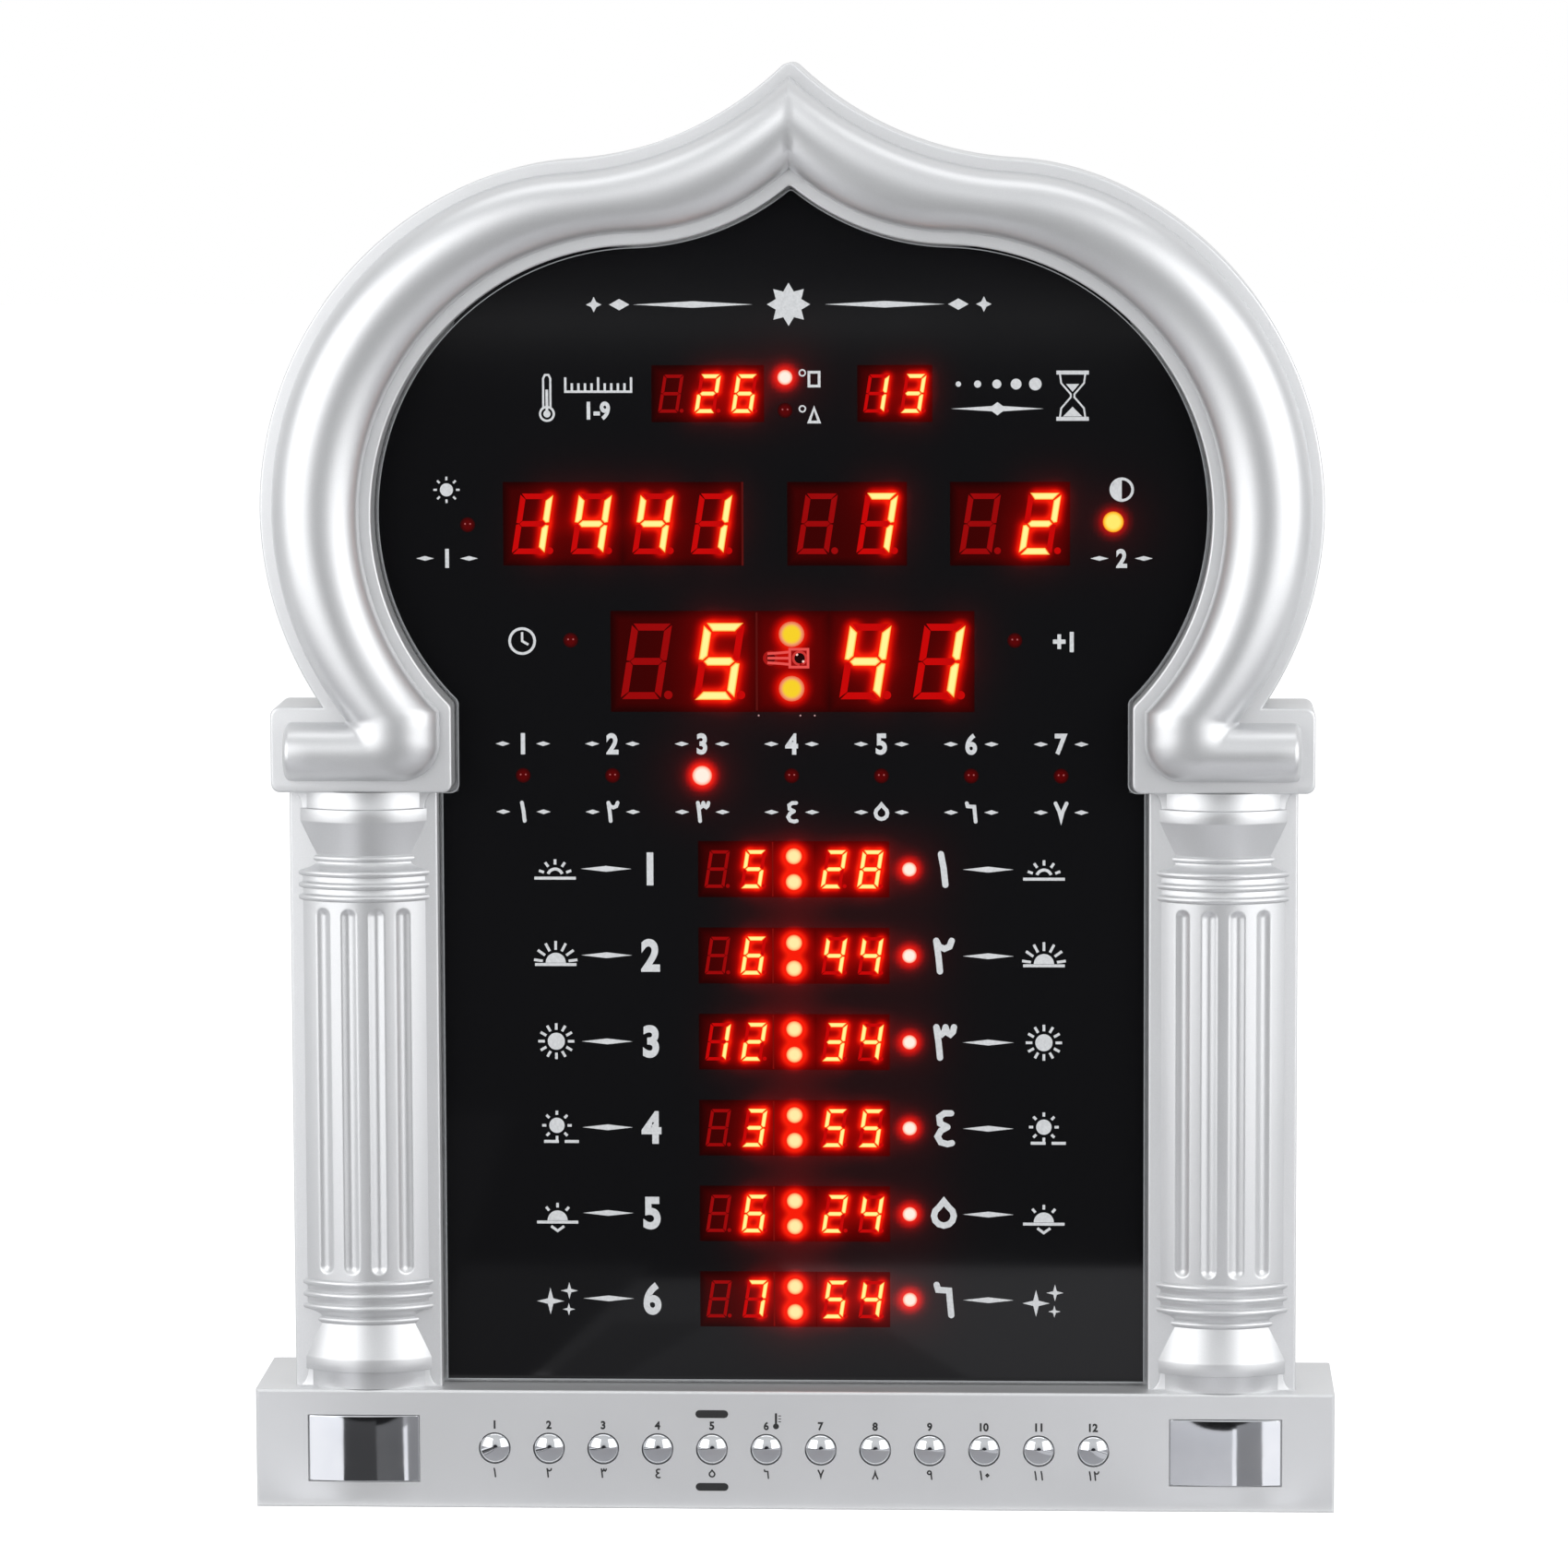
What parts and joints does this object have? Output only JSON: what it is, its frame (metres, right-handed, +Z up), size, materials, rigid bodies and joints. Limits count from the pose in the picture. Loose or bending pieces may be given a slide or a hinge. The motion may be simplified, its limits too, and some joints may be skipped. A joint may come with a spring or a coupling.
{
  "type": "prayer clock",
  "caption": "Free-standing or wall-hung prayer-time clock: silver pointed arch on fluted half columns and a flat base, black panel with glowing digits, row of chrome buttons.",
  "frame": {"origin": "centre of the flat underside that the clock stands on", "axes": "+Z up to the point of the arch, -Y towards the front (display and buttons), +X to the viewer's right"},
  "size_m": [0.364, 0.0647, 0.4859],
  "materials": {
    "silver_paint": "satin silver metallic paint with fine flake, on moulded plastic",
    "silver_paint_base": "satin silver metallic paint, on moulded plastic",
    "black_acrylic": "polished black acrylic sheet that lets bright lamps show through",
    "button_chrome": "bright chrome on plastic",
    "plate_chrome": "bright chrome foil plate",
    "back_plastic": "black moulded plastic, fine texture",
    "board_green": "green solder mask on glass-fibre board",
    "chip_black": "black moulded component bodies",
    "switch_black": "black moulded switch bodies",
    "led_module": "dark grey digit block with red-tinted segments",
    "led_lamp": "tinted epoxy lamp",
    "ir_black": "black epoxy with a lens",
    "sensor_epoxy": "black epoxy bead on tinned leads",
    "speaker_steel": "pressed steel, zinc plated",
    "speaker_paper": "black paper cone",
    "magnet_ferrite": "sintered ferrite between steel plates",
    "cell_jacket": "printed plastic jacket, plain blue",
    "contact_nickel": "nickel-plated spring steel",
    "jack_black": "black moulded socket",
    "header_white": "natural white nylon",
    "cable_grey": "grey vinyl flat cable",
    "wire_red": "vinyl insulation, red and black",
    "screw_steel": "zinc-plated steel"
  },
  "bodies": {
    "case": {"front_frame": "silver_paint", "base_housing": "silver_paint_base", "base_back_plate": "back_plastic", "back_cover": "back_plastic", "display_panel": "black_acrylic", "display_board": "board_green", "button_board": "board_green", "main_board": "board_green", "board_chips": "chip_black", "tact_switches": "switch_black", "time_hours": "led_module", "time_minutes": "led_module", "year_digits": "led_module", "month_digits": "led_module", "day_digits": "led_module", "temperature_digits": "led_module", "countdown_digits": "led_module", "row_1_digits": "led_module", "row_2_digits": "led_module", "row_3_digits": "led_module", "row_4_digits": "led_module", "row_5_digits": "led_module", "row_6_digits": "led_module", "time_dots": "led_lamp", "row_dots": "led_lamp", "indicator_lamps": "led_lamp", "infrared_receiver": "ir_black", "temperature_sensor": "sensor_epoxy", "chrome_plate_left": "plate_chrome", "chrome_plate_right": "plate_chrome", "speaker_basket": "speaker_steel", "speaker_cone": "speaker_paper", "speaker_magnet": "magnet_ferrite", "speaker_wires": "wire_red", "backup_cells": "cell_jacket", "battery_contacts": "contact_nickel", "power_jack": "jack_black", "header_sockets": "header_white", "display_ribbon": "cable_grey", "button_ribbon": "cable_grey", "cover_screws": "screw_steel", "base_screws": "screw_steel", "frame_screws": "screw_steel", "display_board_screws": "screw_steel", "button_board_screws": "screw_steel", "main_board_screws": "screw_steel", "speaker_screws": "screw_steel"},
    "key_1": {"button_1": "button_chrome"},
    "key_2": {"button_2": "button_chrome"},
    "key_3": {"button_3": "button_chrome"},
    "key_4": {"button_4": "button_chrome"},
    "key_5": {"button_5": "button_chrome"},
    "key_6": {"button_6": "button_chrome"},
    "key_7": {"button_7": "button_chrome"},
    "key_8": {"button_8": "button_chrome"},
    "key_9": {"button_9": "button_chrome"},
    "key_10": {"button_10": "button_chrome"},
    "key_11": {"button_11": "button_chrome"},
    "key_12": {"button_12": "button_chrome"},
    "battery_lid": {"battery_door": "back_plastic"}
  },
  "joints": [
    {"name": "button_1_press", "type": "slide", "parent": "case", "child": "key_1", "axis": [0, 1, 0], "range_m": [0, 0.001], "stiffness_N_per_m": 1000},
    {"name": "button_2_press", "type": "slide", "parent": "case", "child": "key_2", "axis": [0, 1, 0], "range_m": [0, 0.001], "stiffness_N_per_m": 1000},
    {"name": "button_3_press", "type": "slide", "parent": "case", "child": "key_3", "axis": [0, 1, 0], "range_m": [0, 0.001], "stiffness_N_per_m": 1000},
    {"name": "button_4_press", "type": "slide", "parent": "case", "child": "key_4", "axis": [0, 1, 0], "range_m": [0, 0.001], "stiffness_N_per_m": 1000},
    {"name": "button_5_press", "type": "slide", "parent": "case", "child": "key_5", "axis": [0, 1, 0], "range_m": [0, 0.001], "stiffness_N_per_m": 1000},
    {"name": "button_6_press", "type": "slide", "parent": "case", "child": "key_6", "axis": [0, 1, 0], "range_m": [0, 0.001], "stiffness_N_per_m": 1000},
    {"name": "button_7_press", "type": "slide", "parent": "case", "child": "key_7", "axis": [0, 1, 0], "range_m": [0, 0.001], "stiffness_N_per_m": 1000},
    {"name": "button_8_press", "type": "slide", "parent": "case", "child": "key_8", "axis": [0, 1, 0], "range_m": [0, 0.001], "stiffness_N_per_m": 1000},
    {"name": "button_9_press", "type": "slide", "parent": "case", "child": "key_9", "axis": [0, 1, 0], "range_m": [0, 0.001], "stiffness_N_per_m": 1000},
    {"name": "button_10_press", "type": "slide", "parent": "case", "child": "key_10", "axis": [0, 1, 0], "range_m": [0, 0.001], "stiffness_N_per_m": 1000},
    {"name": "button_11_press", "type": "slide", "parent": "case", "child": "key_11", "axis": [0, 1, 0], "range_m": [0, 0.001], "stiffness_N_per_m": 1000},
    {"name": "button_12_press", "type": "slide", "parent": "case", "child": "key_12", "axis": [0, 1, 0], "range_m": [0, 0.001], "stiffness_N_per_m": 1000},
    {"name": "battery_door_lift", "type": "slide", "parent": "case", "child": "battery_lid", "axis": [0, 1, 0], "range_m": [0, 0.02]}
  ]
}
